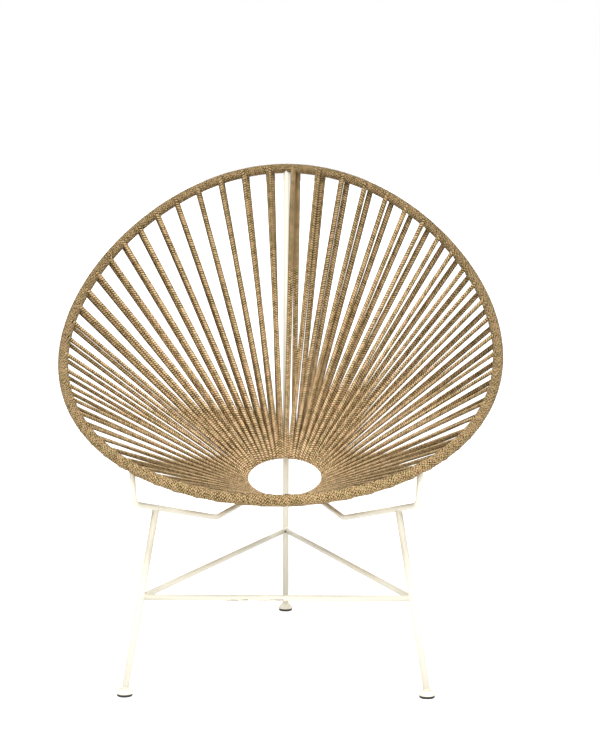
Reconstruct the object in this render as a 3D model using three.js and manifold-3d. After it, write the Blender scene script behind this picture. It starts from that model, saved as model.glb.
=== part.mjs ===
// Patio lounge chair: a round steel-rod frame on three legs, strung with one wound cord.
// Millimetres, +Z up. The front faces -Y, and left and right are as seen from the front:
// left is -X. While it is built, Y is measured from the line through the two front feet
// and Z from the floor. At the end the whole chair is moved so that its origin lies on the
// floor in the middle of its outline.

import * as THREE from 'three';
import { mergeVertices } from 'three/addons/utils/BufferGeometryUtils.js';
import Module from 'manifold-3d';

const wasm = await Module();
wasm.setup();

// Driving dimensions

// Outer hoop: an egg, wide at the front and narrow at the top, on an axis that rises from
// the front edge of the seat to the top of the back, with a slight belly below that axis.
const hoopRodDiameter = 10;
const hoopHalfWidth = 387;
const hoopEggShare = 0.115;
const hoopFrontReach = 41;
const hoopFrontHeight = 341;
const hoopTopSetback = 720;
const hoopTopHeight = 873;
const hoopBelly = 20;

// Inner ring, where every strand turns round
const ringRodDiameter = 10;
const ringDiameter = 162;
const ringTiltDegrees = 25;
const ringHeight = 276;

// Legs and their feet
const legDiameter = 12;
const footHalfSpacing = 253;
const rearFootSetback = 606;

// Brackets: a bent rod on each side, from the hoop down, under the seat and to the ring
const bracketDiameter = 10;
const bracketDrop = 62;
const elbowInset = 3;
const kneeHalfSpacing = 114;
const kneeSetback = 262;
const kneeHeight = 253.5;
const bracketBendRadius = 13;
const kneeBendRadius = 16;
const ringLap = 3;
const legHeadReach = 68.9;

// Stretchers: the triangle that ties the three legs
const stretcherDiameter = 10;
const stretcherHeight = 158;
const weldThroat = 1;
const weldLength = 6;

// How far a coped end comes up round the rod that it is welded to
const saddleDepth = 3;

// Foot cups and glides
const cupRimDiameter = 28;
const cupNeckDiameter = 18.5;
const cupHeight = 8;
const cupRimHeight = 1.2;
const cupEdge = 0.8;
const glideDiameter = 26.4;
const glideFaceDiameter = 20;
const glideHeight = 4.2;
const glideEdge = 1.8;
const glideBossDiameter = 12;
const glideBossHeight = 2.6;
const socketFloor = 1.6;

// Cord: one run, wound round the hoop and strung to the ring and back
const cordDiameter = 6;
const wrapThickness = 4.2;
const spokeCount = 60;
const spokeGradeShare = 0.19;
const spokesPerBundle = 3;
const bracketStation = 7;
const ringWeldStation = 8;
const weldSlotDegrees = 7;
const strandDepth = 5.9;
const strandRoot = 4.6;

// Clearances and overruns
const seatGap = 0.3;
const bundleGap = 0.3;
const cordGap = 0.4;
const cutOverrun = 6;

// Counts of faces
const hoopSides = 8;
const ringSides = 12;
const rodSides = 16;
const cordSides = 5;
const bendSteps = 6;
const turnSides = 28;
const hoopLengthSamples = 2400;

// Materials
const framePaint = { color: 0xf6edd3, roughness: 0.42, metalness: 0.0 };
const cordFibre = { color: 0xb3905c, roughness: 0.95, metalness: 0.0 };
const glidePlastic = { color: 0x1d1a18, roughness: 0.55, metalness: 0.0 };

const group = new THREE.Group();
const V = (x, y, z) => new THREE.Vector3(x, y, z);
const axisX = V(1, 0, 0);
const axisY = V(0, 1, 0);
const axisZ = V(0, 0, 1);
const along = (point, direction, distance) => point.clone().addScaledVector(direction, distance);
const between = (from, to) => to.clone().sub(from).normalize();
const mirrored = (point) => V(-point.x, point.y, point.z);
const perpendicular = (a, b) => a.clone().cross(b).normalize();

// Closed bodies from rings of points

// A skin over rings with the same number of points, with flat ends, or closed on itself
function loft(rings, closed = false) {
  const sides = rings[0].length;
  const positions = rings.flat().flatMap((p) => [p.x, p.y, p.z]);
  const faces = [];
  const spans = closed ? rings.length : rings.length - 1;
  for (let i = 0; i < spans; i++) {
    const a = i * sides;
    const b = ((i + 1) % rings.length) * sides;
    for (let s = 0; s < sides; s++) {
      const n = (s + 1) % sides;
      faces.push(a + s, a + n, b + n, a + s, b + n, b + s);
    }
  }
  if (!closed) {
    const last = (rings.length - 1) * sides;
    for (let s = 1; s < sides - 1; s++) {
      faces.push(0, s + 1, s);
      faces.push(last, last + s, last + s + 1);
    }
  }
  const geometry = new THREE.BufferGeometry();
  geometry.setAttribute('position', new THREE.Float32BufferAttribute(positions, 3));
  geometry.setIndex(faces);
  return facingOut(geometry);
}

// Turns the faces over where they enclose a negative volume
function facingOut(geometry) {
  const p = geometry.attributes.position;
  const index = geometry.index.array;
  const a = new THREE.Vector3();
  const b = new THREE.Vector3();
  const c = new THREE.Vector3();
  let volume = 0;
  for (let i = 0; i < index.length; i += 3) {
    a.fromBufferAttribute(p, index[i]);
    b.fromBufferAttribute(p, index[i + 1]);
    c.fromBufferAttribute(p, index[i + 2]);
    volume += a.dot(b.cross(c));
  }
  if (volume < 0) {
    for (let i = 0; i < index.length; i += 3) {
      [index[i], index[i + 1]] = [index[i + 1], index[i]];
    }
  }
  return geometry;
}

// One ring of a tube: a polygon square to the path, stretched across a bend so that the
// straight runs on both sides keep their section
function section(centre, before, after, normal, radius, sides) {
  const tangent = before.clone().add(after).normalize();
  const n1 = along(normal, tangent, -normal.dot(tangent)).normalize();
  const n2 = tangent.clone().cross(n1);
  const bend = after.clone().sub(before);
  const cosine = Math.max(tangent.dot(after), 0.2);
  const bends = bend.length() > 1e-6;
  if (bends) bend.normalize();
  const ring = [];
  for (let s = 0; s < sides; s++) {
    const angle = (2 * Math.PI * s) / sides;
    const spoke = n1.clone().multiplyScalar(Math.cos(angle) * radius);
    spoke.addScaledVector(n2, Math.sin(angle) * radius);
    if (bends) spoke.addScaledVector(bend, spoke.dot(bend) * (1 / cosine - 1));
    ring.push(spoke.add(centre));
  }
  return ring;
}

// A rod or cord along points. Its radius is one size, or one for each point. A reference
// normal keeps the sections of a closed loop lined up; elsewhere the normal is carried on.
function tube(points, radius, sides, { closed = false, normal = null, flatStart = null } = {}) {
  const count = points.length;
  const radii = Array.isArray(radius) ? radius : points.map(() => radius);
  const runs = points.map((p, i) => between(p, points[(i + 1) % count]));
  const rings = [];
  let carried = normal ? normal.clone() : perpendicular(runs[0], leastAligned(runs[0]));
  for (let i = 0; i < count; i++) {
    const after = closed || i < count - 1 ? runs[i] : runs[count - 2];
    const before = closed ? runs[(i + count - 1) % count] : runs[Math.max(i - 1, 0)];
    const tangent = before.clone().add(after).normalize();
    if (!closed) carried = along(carried, tangent, -carried.dot(tangent)).normalize();
    rings.push(section(points[i], before, after, carried, radii[i], sides));
  }
  if (flatStart) {
    for (const p of rings[0]) {
      const lift = points[0].clone().sub(p).dot(flatStart) / runs[0].dot(flatStart);
      p.addScaledVector(runs[0], lift);
    }
  }
  return loft(rings, closed);
}

// The main axis that lies furthest from a direction
function leastAligned(direction) {
  const axes = [axisX, axisY, axisZ];
  return axes.reduce((a, b) => (Math.abs(b.dot(direction)) < Math.abs(a.dot(direction)) ? b : a));
}

// A path with a round bend at each inner corner
function filleted(corners, radii) {
  const path = [corners[0].clone()];
  for (let i = 1; i < corners.length - 1; i++) {
    const into = between(corners[i - 1], corners[i]);
    const out = between(corners[i], corners[i + 1]);
    const turn = into.angleTo(out);
    const reach = radii[i - 1] * Math.tan(turn / 2);
    const start = along(corners[i], into, -reach);
    const inward = along(out, into, -out.dot(into)).normalize();
    const centre = along(start, inward, radii[i - 1]);
    for (let s = 0; s <= bendSteps; s++) {
      const angle = (turn * s) / bendSteps;
      const p = along(centre, inward, -radii[i - 1] * Math.cos(angle));
      path.push(p.addScaledVector(into, radii[i - 1] * Math.sin(angle)));
    }
  }
  path.push(corners[corners.length - 1].clone());
  return path;
}

// Joins and cuts

function solid(geometry) {
  const bare = new THREE.BufferGeometry();
  bare.setAttribute('position', geometry.attributes.position.clone());
  if (geometry.index) bare.setIndex(geometry.index.clone());
  const merged = mergeVertices(bare, 1e-4);
  return new wasm.Manifold(new wasm.Mesh({
    numProp: 3,
    vertProperties: new Float32Array(merged.attributes.position.array),
    triVerts: new Uint32Array(merged.index.array),
  }));
}

function skin(body) {
  const mesh = body.getMesh();
  const geometry = new THREE.BufferGeometry();
  const stride = mesh.numProp;
  const positions = [];
  for (let i = 0; i < mesh.vertProperties.length; i += stride) {
    positions.push(mesh.vertProperties[i], mesh.vertProperties[i + 1], mesh.vertProperties[i + 2]);
  }
  geometry.setAttribute('position', new THREE.Float32BufferAttribute(positions, 3));
  geometry.setIndex(Array.from(mesh.triVerts));
  return geometry;
}

function cut(geometry, tools) {
  return skin(tools.reduce((body, tool) => body.subtract(solid(tool)), solid(geometry)));
}

function add(name, geometry, finish) {
  const shown = geometry.index ? geometry : mergeVertices(geometry);
  shown.computeVertexNormals();
  const mesh = new THREE.Mesh(shown, new THREE.MeshStandardMaterial(finish));
  mesh.name = name;
  group.add(mesh);
  return mesh;
}

// Outer hoop

// The axis of the hoop, from the middle of the front edge to the middle of the top
const hoopFront = V(0, -hoopFrontReach, hoopFrontHeight);
const hoopTop = V(0, hoopTopSetback, hoopTopHeight);
const hoopAxis = between(hoopFront, hoopTop);
const hoopLength = hoopFront.distanceTo(hoopTop);
const hoopNormal = perpendicular(axisX, hoopAxis);

// A point of the hoop's centre line: turn 0 is the front, half a turn the top, by way of +X
function hoopAt(turn) {
  const share = (1 - Math.cos(turn)) / 2;
  const egg = 1 + hoopEggShare * Math.cos(turn);
  const point = along(hoopFront, hoopAxis, hoopLength * share);
  point.addScaledVector(hoopNormal, -hoopBelly * 4 * share * (1 - share));
  point.x = hoopHalfWidth * Math.sin(turn) * egg;
  return point;
}

// Lengths along the half hoop on the +X side, to place the strands by the length of rod
// between them
const hoopLengths = [0];
for (let i = 1; i <= hoopLengthSamples; i++) {
  const a = hoopAt((Math.PI * (i - 1)) / hoopLengthSamples);
  const b = hoopAt((Math.PI * i) / hoopLengthSamples);
  hoopLengths.push(hoopLengths[i - 1] + a.distanceTo(b));
}

function hoopByLength(share) {
  const target = share * hoopLengths[hoopLengthSamples];
  let i = hoopLengths.findIndex((length) => length >= target);
  if (i < 1) i = 1;
  const part = (target - hoopLengths[i - 1]) / (hoopLengths[i] - hoopLengths[i - 1]);
  return hoopAt((Math.PI * (i - 1 + part)) / hoopLengthSamples);
}

// Stations half way between the strands. They lie closest at the front and furthest apart
// at the top, and the left half mirrors the right.
const halfCount = spokeCount / 2;
const stations = [];
for (let j = 0; j <= halfCount; j++) {
  const even = j / halfCount;
  const share = even - (spokeGradeShare / Math.PI) * Math.sin(Math.PI * even);
  stations.push(hoopByLength(share));
}
stations[0].x = 0;
stations[halfCount].x = 0;
for (let j = halfCount + 1; j < spokeCount; j++) stations.push(mirrored(stations[spokeCount - j]));

// The line of the rear leg, from the rear foot to the top of the hoop

const cupTop = glideHeight + seatGap + cupHeight;
const socketHeight = glideHeight + seatGap + glideBossHeight + seatGap + socketFloor;
const legStart = socketHeight + seatGap;
const legRadius = legDiameter / 2;
const rearFoot = V(0, rearFootSetback, legStart);
const rearHead = stations[halfCount];
const rearRun = between(rearFoot, rearHead);

// The place of the inner ring: it lies against the front of the rear leg and tilts down
// to the front

const ringTilt = THREE.MathUtils.degToRad(ringTiltDegrees);
const ringRadius = ringDiameter / 2;
const ringRodRadius = ringRodDiameter / 2;
const ringForward = V(0, -Math.cos(ringTilt), -Math.sin(ringTilt));
const ringUp = V(0, -Math.sin(ringTilt), Math.cos(ringTilt));
const ringRearHeight = ringHeight + ringRadius * Math.sin(ringTilt);
const rearLegAtRing = along(rearFoot, rearRun, (ringRearHeight - rearFoot.z) / rearRun.z);
const ringToLeg = (legRadius + seatGap + ringRodRadius) / rearRun.z;
const ringSetback = rearLegAtRing.y - ringToLeg - ringRadius * Math.cos(ringTilt);
const ringCentre = V(0, ringSetback, ringHeight);

// Every section of the hoop has a corner that faces the ring, so that the two strands of
// a pair leave it on the two flats beside that corner
function hoopSection(j, centre, radius) {
  const here = stations[j % spokeCount];
  const before = between(stations[(j + spokeCount - 1) % spokeCount], here);
  const after = between(here, stations[(j + 1) % spokeCount]);
  return section(centre, before, after, between(centre, ringCentre), radius, hoopSides);
}
const hoopLoop = (radius) => loft(stations.map((p, j) => hoopSection(j, p, radius)), true);
add('outer_hoop', hoopLoop(hoopRodDiameter / 2), framePaint);

// Rear leg: one straight rod

const hoopClearance = hoopLoop(hoopRodDiameter / 2 + seatGap);
const rearEnd = along(rearHead, rearRun, saddleDepth - hoopRodDiameter / 2 - seatGap);
const rearLeg = tube([rearFoot, rearEnd], legRadius, rodSides, { flatStart: axisZ });
add('rear_leg', cut(rearLeg, [hoopClearance]), framePaint);

// The same leg with clearance all round, longer at both ends, to cut what meets it
const legCut = (from, run, length) => tube(
  [along(from, run, -seatGap), along(from, run, length)],
  legRadius + seatGap, rodSides,
  { flatStart: axisZ },
);
const rearLegLength = rearFoot.distanceTo(rearHead);
const rearLegCut = legCut(rearFoot, rearRun, rearLegLength);

// Inner ring

// A point of the ring's centre line and its tangent: angle 0 is the front, by way of +X
const ringAt = (angle) => {
  const point = along(ringCentre, axisX, ringRadius * Math.sin(angle));
  return point.addScaledVector(ringForward, ringRadius * Math.cos(angle));
};
const ringTangent = (angle) => {
  const tangent = axisX.clone().multiplyScalar(Math.cos(angle));
  return tangent.addScaledVector(ringForward, -Math.sin(angle));
};
const ringPoints = [];
for (let k = 0; k < spokeCount; k++) ringPoints.push(ringAt((2 * Math.PI * k) / spokeCount));
add('inner_ring', tube(ringPoints, ringRodRadius, ringSides, { closed: true, normal: ringUp }), framePaint);

// Brackets

// Where the bracket laps under the ring: between two strands
const bracketAngle = (2 * Math.PI * ringWeldStation) / spokeCount;
const bracketRadius = bracketDiameter / 2;
const bracketTop = stations[bracketStation];
const bracketElbow = along(along(bracketTop, axisZ, -bracketDrop), axisX, -elbowInset);
const bracketKnee = V(kneeHalfSpacing, kneeSetback, kneeHeight);
const lapPoint = ringAt(bracketAngle);
const lapDown = perpendicular(ringTangent(bracketAngle), between(bracketKnee, lapPoint));
if (lapDown.z > 0) lapDown.negate();
const bracketLap = along(lapPoint, lapDown, ringRodRadius + seatGap + bracketRadius);
const bracketEnd = along(bracketLap, between(bracketKnee, bracketLap), ringLap);
const bracketRise = between(bracketElbow, bracketTop);
const bracketStart = along(bracketTop, bracketRise, saddleDepth - hoopRodDiameter / 2 - seatGap);
const bracketPath = filleted(
  [bracketStart, bracketElbow, bracketKnee, bracketEnd],
  [bracketBendRadius, kneeBendRadius],
);
const bracketTube = (radius) => tube(bracketPath, radius, rodSides);
const bracketRight = cut(bracketTube(bracketRadius), [hoopClearance]);
const reflect = (geometry) => {
  const copy = geometry.clone();
  copy.scale(-1, 1, 1);
  return facingOut(copy);
};
add('bracket_right', bracketRight, framePaint);
add('bracket_left', reflect(bracketRight), framePaint);

// Front legs: straight rods from the front feet up to the slope of each bracket

const slopeRun = between(bracketElbow, bracketKnee);
const legHead = along(bracketElbow, slopeRun, legHeadReach);
const frontFoot = V(footHalfSpacing, 0, legStart);
const frontRun = between(frontFoot, legHead);
const frontEnd = along(legHead, frontRun, saddleDepth - bracketRadius - seatGap);
const frontLegLength = frontFoot.distanceTo(legHead);
const frontLegRight = cut(
  tube([frontFoot, frontEnd], legRadius, rodSides, { flatStart: axisZ }),
  [bracketTube(bracketRadius + seatGap)],
);
add('front_leg_right', frontLegRight, framePaint);
add('front_leg_left', reflect(frontLegRight), framePaint);
const frontLegCut = legCut(frontFoot, frontRun, frontLegLength);

// Stretchers, with a weld flare at each end

const onLeg = (foot, run) => along(foot, run, (stretcherHeight - foot.z) / run.z);
const frontJoint = onLeg(frontFoot, frontRun);
const rearJoint = onLeg(rearFoot, rearRun);
const stretcherRadius = stretcherDiameter / 2;

function stretcher(from, to) {
  const run = between(from, to);
  const inset = legRadius + weldLength;
  const points = [
    from,
    along(from, run, legRadius),
    along(from, run, inset),
    along(to, run, -inset),
    along(to, run, -legRadius),
    to,
  ];
  const welded = stretcherRadius + weldThroat;
  const radii = [welded, welded, stretcherRadius, stretcherRadius, welded, welded];
  return tube(points, radii, rodSides);
}

add('front_stretcher', cut(
  stretcher(mirrored(frontJoint), frontJoint),
  [frontLegCut, reflect(frontLegCut)],
), framePaint);

// Each side stretcher stops at the middle plane, where its mirror image meets it, and
// behind the front stretcher's weld
const middleSize = legDiameter + stretcherDiameter + cutOverrun;
const middleBlock = new THREE.BoxGeometry(middleSize, middleSize, middleSize);
middleBlock.translate(seatGap / 2 - middleSize / 2, rearJoint.y, rearJoint.z);
const frontWeldCut = tube(
  [mirrored(frontJoint), frontJoint],
  stretcherRadius + weldThroat + seatGap, rodSides,
);
const sideStretcherRight = cut(
  stretcher(frontJoint, rearJoint),
  [frontLegCut, rearLegCut, middleBlock, frontWeldCut],
);
add('side_stretcher_right', sideStretcherRight, framePaint);
add('side_stretcher_left', reflect(sideStretcherRight), framePaint);

// Foot cups and glides, turned about upright axes whatever the slant of the leg

const turned = (profile) => {
  const geometry = new THREE.LatheGeometry(profile.map(([r, z]) => new THREE.Vector2(r, z)), turnSides);
  geometry.rotateX(Math.PI / 2);
  return geometry;
};
const cupBase = glideHeight + seatGap;
const bossRadius = glideBossDiameter / 2;
const recessTop = cupBase + glideBossHeight + seatGap;
const cupProfile = [
  [0, recessTop],
  [bossRadius + seatGap, recessTop],
  [bossRadius + seatGap, cupBase],
  [cupRimDiameter / 2 - cupEdge, cupBase],
  [cupRimDiameter / 2, cupBase + cupEdge],
  [cupRimDiameter / 2, cupBase + cupRimHeight],
  [cupRimDiameter / 2 - cupEdge, cupBase + cupRimHeight + cupEdge],
  [cupNeckDiameter / 2 + cupEdge, cupTop - cupEdge],
  [cupNeckDiameter / 2, cupTop],
  [0, cupTop],
];
const glideProfile = [
  [0, 0],
  [glideFaceDiameter / 2, 0],
  [glideDiameter / 2 - glideEdge * (1 - Math.SQRT1_2), glideEdge * (1 - Math.SQRT1_2)],
  [glideDiameter / 2, glideEdge],
  [glideDiameter / 2, glideHeight - cupEdge],
  [glideDiameter / 2 - cupEdge, glideHeight],
  [bossRadius, glideHeight],
  [bossRadius, glideHeight + glideBossHeight],
  [0, glideHeight + glideBossHeight],
];

const feet = [
  ['front_right', frontFoot, frontLegCut],
  ['front_left', mirrored(frontFoot), reflect(frontLegCut)],
  ['rear', rearFoot, rearLegCut],
];
for (const [place, foot, socket] of feet) {
  const cup = turned(cupProfile);
  cup.translate(foot.x, foot.y, 0);
  add(`foot_cup_${place}`, cut(cup, [socket]), framePaint);
  const glide = add(`glide_${place}`, turned(glideProfile), glidePlastic);
  glide.position.set(foot.x, foot.y, 0);
}

// Seat cord

// Bundles of three strands each follow one another along the same cord. A bundle is its
// length of the winding on the hoop, with the strands that leave it, turn round the ring
// and come back behind.
const cordRadius = cordDiameter / 2;
const boreRadius = hoopRodDiameter / 2 + seatGap;
const wrapRadius = boreRadius + wrapThickness;
const turnRadius = ringRodRadius + seatGap + cordRadius;
const strandShift = (cordDiameter + cordGap) / 2;
const slot = THREE.MathUtils.degToRad(weldSlotDegrees);

// Where the strands stand on the ring: evenly in the three stretches between the welds
const ringStretches = [
  [-bracketAngle, bracketAngle, 2 * ringWeldStation],
  [bracketAngle, Math.PI, halfCount - ringWeldStation],
  [Math.PI, 2 * Math.PI - bracketAngle, halfCount - ringWeldStation],
];
const ringAngles = [];
for (const [from, to, count] of ringStretches) {
  const step = (to - from - 2 * slot) / count;
  for (let k = 0; k < count; k++) ringAngles.push(from + slot + step * (k + 0.5));
}
ringAngles.push(...ringAngles.splice(0, ringWeldStation));

// One strand out and back: it leaves the front of the hoop, goes once round the inside of
// the ring and returns to the back of the hoop, one cord's width further on
function strandPath(k) {
  const a = stations[k];
  const b = stations[(k + 1) % spokeCount];
  const seat = a.clone().lerp(b, 0.5);
  const step = between(a, b);
  const angle = ringAngles[k];
  const turn = ringAt(angle);
  const tangent = ringTangent(angle);
  const run = between(turn, seat);
  const lift = perpendicular(run, step);
  const out = along(run, tangent, -run.dot(tangent)).normalize();
  const rise = perpendicular(out, tangent);
  const halfStep = Math.PI / 6;
  const bow = turnRadius * Math.tan(halfStep);
  const root = along(seat, run, -strandRoot);
  const front = along(along(root, lift, strandDepth), step, strandShift);
  const back = along(along(root, lift, -strandDepth), step, -strandShift);
  const over = along(along(turn, rise, turnRadius), out, -bow);
  const inside = along(turn, out, -turnRadius / Math.cos(halfStep));
  const under = along(along(turn, rise, -turnRadius), out, -bow);
  return [front, over, inside, under, back];
}

// The winding on the hoop over one bundle: a hollow sleeve round the rod, whose bore has
// the corners of the rod
function sleeve(first) {
  const outer = [];
  const bore = [];
  const last = first + spokesPerBundle;
  for (let j = first; j <= last; j++) {
    const here = stations[j % spokeCount];
    const after = between(here, stations[(j + 1) % spokeCount]);
    const trim = j === first ? bundleGap / 2 : j === last ? -bundleGap / 2 : 0;
    const centre = along(here, after, trim);
    outer.push(hoopSection(j, centre, wrapRadius));
    bore.unshift(hoopSection(j, centre, boreRadius));
  }
  return loft([...outer, ...bore], true);
}

// Where the winding parts round the rods that are welded to the hoop
const bracketCut = tube(
  [along(bracketTop, bracketRise, -cutOverrun - wrapRadius), bracketTop],
  bracketRadius + seatGap, rodSides,
);
const weldCuts = [bracketCut, reflect(bracketCut), rearLegCut].map(solid);

const bundleCount = spokeCount / spokesPerBundle;
const strandPaths = [];
for (let k = 0; k < spokeCount; k++) strandPaths.push(strandPath(k));
for (let bundle = 0; bundle < bundleCount; bundle++) {
  const first = bundle * spokesPerBundle;
  let body = solid(sleeve(first));
  for (let k = first; k < first + spokesPerBundle; k++) {
    body = body.add(solid(tube(strandPaths[k], cordRadius, cordSides)));
  }
  for (const tool of weldCuts) body = body.subtract(tool);
  const number = String(bundle + 1).padStart(2, '0');
  add(`seat_cord_${number}`, skin(body), cordFibre);
}

// The least gap from each strand to the next one along, from turn to turn of the ring
function closest(pathA, pathB) {
  let least = Infinity;
  const samples = 40;
  const spread = (path) => {
    const points = [];
    for (let i = 0; i < path.length - 1; i++) {
      for (let s = 0; s <= samples; s++) points.push(path[i].clone().lerp(path[i + 1], s / samples));
    }
    return points;
  };
  const b = spread(pathB);
  for (const p of spread(pathA)) for (const q of b) least = Math.min(least, p.distanceTo(q));
  return least - cordDiameter;
}
let leastGap = Infinity;
for (let k = 0; k < spokeCount; k++) {
  leastGap = Math.min(leastGap, closest(strandPaths[k], strandPaths[(k + 1) % spokeCount]));
}
console.log(`least gap between neighbouring strands: ${leastGap.toFixed(2)} mm`);

// Origin on the floor, in the middle of the outline

group.updateMatrixWorld(true);
const outline = new THREE.Box3().setFromObject(group, true);
group.position.set(0, -(outline.min.y + outline.max.y) / 2, 0);
group.updateMatrixWorld(true);
const size = outline.getSize(new THREE.Vector3());
console.log(`width ${size.x.toFixed(1)}, depth ${size.y.toFixed(1)}, height ${size.z.toFixed(1)} mm`);

export default group;
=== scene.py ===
# %% [markdown]
# # A corded patio chair
# The real chair is a cage of round steel rods, welded and powder coated in cream. One long
# braided cord is wound round the big outer hoop and strung to a small ring and back, and
# that makes the seat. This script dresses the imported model. Every piece is built in
# metres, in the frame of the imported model, so nothing has to be fitted afterwards.

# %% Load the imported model
import math
import random
from collections import namedtuple

import bmesh
import bpy
import numpy as np
from mathutils import Matrix, Vector


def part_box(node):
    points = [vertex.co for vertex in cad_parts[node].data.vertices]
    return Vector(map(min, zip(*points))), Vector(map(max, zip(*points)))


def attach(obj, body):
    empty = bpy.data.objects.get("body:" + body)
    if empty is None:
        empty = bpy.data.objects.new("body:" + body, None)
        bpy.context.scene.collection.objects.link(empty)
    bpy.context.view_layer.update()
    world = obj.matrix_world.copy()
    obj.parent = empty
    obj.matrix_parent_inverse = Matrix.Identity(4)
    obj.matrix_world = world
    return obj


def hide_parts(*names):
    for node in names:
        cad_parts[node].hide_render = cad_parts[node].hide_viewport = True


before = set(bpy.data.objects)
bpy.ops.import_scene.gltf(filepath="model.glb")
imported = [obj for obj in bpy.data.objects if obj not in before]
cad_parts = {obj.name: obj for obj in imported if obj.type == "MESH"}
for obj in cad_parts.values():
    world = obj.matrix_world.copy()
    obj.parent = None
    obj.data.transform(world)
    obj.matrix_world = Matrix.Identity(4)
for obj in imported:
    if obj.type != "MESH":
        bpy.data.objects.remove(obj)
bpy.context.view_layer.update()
MM = 0.001
FULL_TURN = 2 * math.pi
QUARTER_TURN = math.pi / 2
print("packed nodes:", len(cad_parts))

# %% [markdown]
# ## Camera
# The photograph looks at the chair from the front, a little above the seat, from more than
# three metres away. The place, the tilt and the lens come from the feet, the stretchers and
# the ring in the picture. A long lens from further off would flatten the seat, so the
# distance matters as much as the angle.

# %% Camera
FRONT_FEET_Y = (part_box("glide_front_right")[0].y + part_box("glide_front_right")[1].y) / 2
CAMERA_PLACE = Vector((0.1011, FRONT_FEET_Y - 3.0897, 0.9029))
CAMERA_PITCH = math.radians(6.75)
CAMERA_YAW = math.radians(1.12)
LENS_MM = 90.36
SENSOR_MM = 36.0
CLIP_END = 200.0


def add_object(name, data):
    """Puts a new object with this data into the scene."""
    made = bpy.data.objects.new(name, data)
    bpy.context.scene.collection.objects.link(made)
    return made


camera_data = bpy.data.cameras.new("camera")
camera_data.lens = LENS_MM
camera_data.sensor_width = SENSOR_MM
camera_data.clip_end = CLIP_END
camera = add_object("camera", camera_data)
camera.location = CAMERA_PLACE
camera.rotation_euler = (QUARTER_TURN - CAMERA_PITCH, 0.0, CAMERA_YAW)
bpy.context.scene.camera = camera
bpy.context.scene.view_settings.view_transform = "Standard"
print("camera at", tuple(round(c, 3) for c in CAMERA_PLACE), "lens", LENS_MM)

# %% [markdown]
# ## Floor, background and light
# The chair stands on a seamless white floor. Its material adds a plain white glow that only
# the camera and reflections see, so the floor reads white and still keeps a faint shadow.
# The glow grows with the distance, because the lamps light only the near floor. Most of the
# light comes evenly from everywhere. The rest comes from a key lamp high in front, which lets
# each front cord shade the one behind it, from a wide fill lamp, and from two low lamps
# that reach the frame under the seat.

# %% Node helpers
def node_maker(tree):
    """A function that adds a node: its kind, its inputs as values or links, its settings."""

    def node(kind, inputs=None, **settings):
        made = tree.nodes.new(kind)
        for key, value in settings.items():
            setattr(made, key, value)
        for key, value in (inputs or {}).items():
            if isinstance(value, bpy.types.NodeSocket):
                tree.links.new(value, made.inputs[key])
            else:
                made.inputs[key].default_value = value
        return made

    return node


def new_material(name):
    """An empty material: returns it and a function that adds a node."""
    material = bpy.data.materials.new(name)
    material.use_nodes = True
    material.node_tree.nodes.clear()
    return material, node_maker(material.node_tree)


def math_chain(node):
    """A shorthand for one Math node: operation and inputs, sockets or numbers."""

    def calc(operation, *inputs):
        return node("ShaderNodeMath", dict(enumerate(inputs)), operation=operation).outputs[0]

    return calc


def seen(node):
    """One for what the camera sees, also in a reflection or through glass, and else zero."""
    calc = math_chain(node)
    rays = node("ShaderNodeLightPath").outputs
    plain_or_glossy = calc("MAXIMUM", rays["Is Camera Ray"], rays["Is Glossy Ray"])
    return calc("MAXIMUM", plain_or_glossy, rays["Is Transmission Ray"])


print("node helpers made: node_maker, new_material, math_chain and seen")

# %% Floor
FLOOR_HALF = 60.0
FLOOR_WHITE = (0.88, 0.88, 0.88, 1.0)
# The glow rises from one strength to the other between these distances from the middle
GLOW = {"From Min": 0.8, "From Max": 4.0, "To Min": 0.60, "To Max": 0.78}


def floor_material():
    material, node = new_material("studio_floor")
    place = node("ShaderNodeTexCoord").outputs["Object"]
    away = node("ShaderNodeVectorMath", {0: place}, operation="LENGTH").outputs["Value"]
    level = node("ShaderNodeMapRange", {"Value": away, **GLOW}).outputs["Result"]
    strength = math_chain(node)("MULTIPLY", seen(node), level)
    shade = node("ShaderNodeBsdfDiffuse", {"Color": FLOOR_WHITE}).outputs[0]
    glow = node("ShaderNodeEmission", {"Strength": strength}).outputs[0]
    both = node("ShaderNodeAddShader", {0: shade, 1: glow}).outputs[0]
    node("ShaderNodeOutputMaterial", {"Surface": both})
    return material


floor_mesh = bmesh.new()
bmesh.ops.create_grid(floor_mesh, x_segments=1, y_segments=1, size=FLOOR_HALF)
floor_data = bpy.data.meshes.new("studio_floor")
floor_mesh.to_mesh(floor_data)
floor_mesh.free()
floor_data.materials.append(floor_material())
floor = add_object("studio_floor", floor_data)
print("floor", 2 * FLOOR_HALF, "m wide")

# %% World and lamps
WORLD_LIGHT = 0.80
WHITE = (1.0, 1.0, 1.0, 1.0)
LAMPS = {
    # name: (place, width, height, power in watts)
    "key_lamp": ((0.05, -1.6, 3.9), 0.8, 0.8, 86.0),
    "fill_lamp": ((0.3, -3.8, 0.6), 3.0, 0.8, 28.0),
    "low_lamp_left": ((-2.2, -2.4, 0.35), 1.0, 0.5, 4.0),
    "low_lamp_right": ((2.2, -2.4, 0.35), 1.0, 0.5, 6.5),
}
AIM = Vector((0.0, 0.0, 0.40))

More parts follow.
